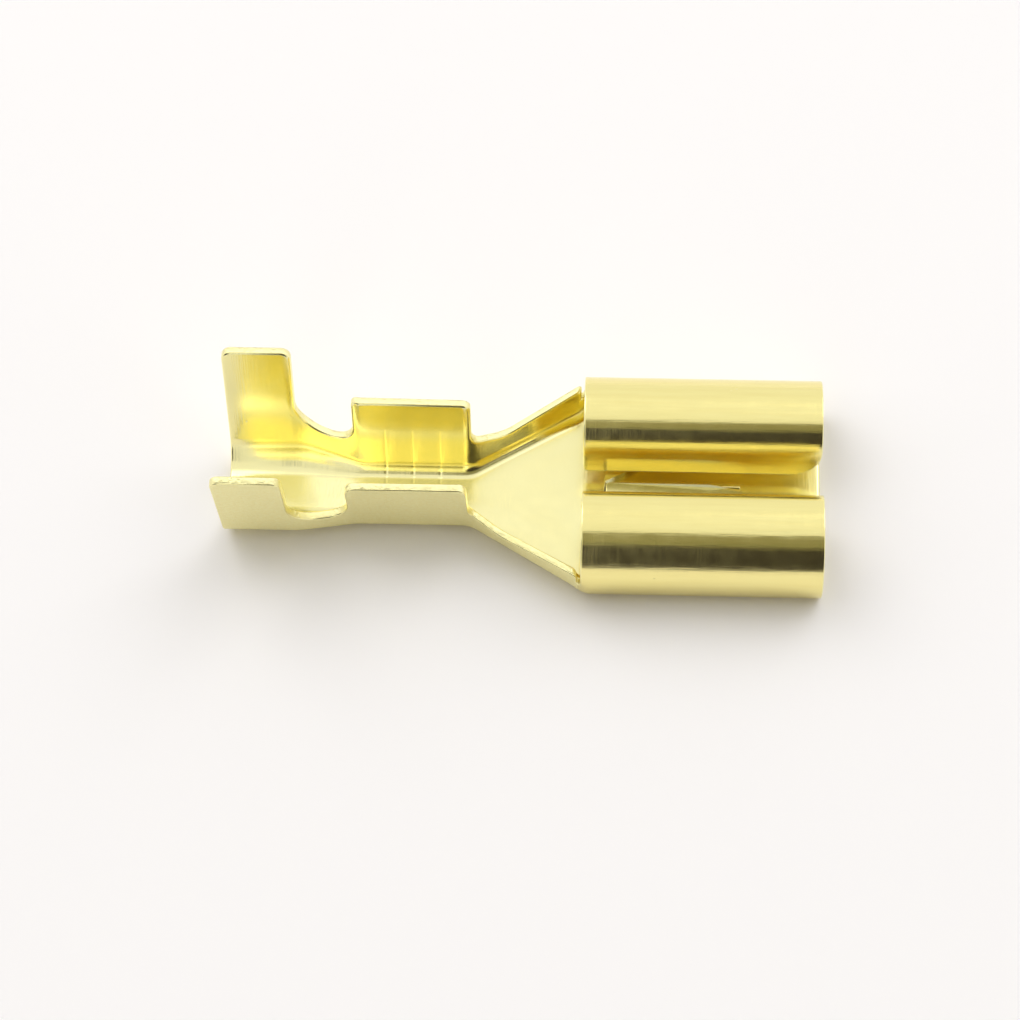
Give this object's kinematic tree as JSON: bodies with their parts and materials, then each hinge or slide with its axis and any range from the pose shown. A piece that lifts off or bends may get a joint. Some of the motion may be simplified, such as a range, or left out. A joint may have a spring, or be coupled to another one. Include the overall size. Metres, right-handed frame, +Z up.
{
  "type": "wire terminal",
  "caption": "Push-on brass receptacle for a flat tab, folded from one sheet: rolled edges over a flat floor, a flared neck, and open crimp wings for a stranded wire and its insulation.",
  "frame": {"origin": "middle of the length and width, on the flat underside", "axes": "+X from the wire end to the mouth, +Y across the floor, +Z up from the floor towards the wings"},
  "size_m": [0.0196, 0.0078, 0.0051],
  "materials": {
    "brass": "bright rolled sheet"
  },
  "bodies": {
    "root": {"terminal": "brass"}
  },
  "joints": []
}
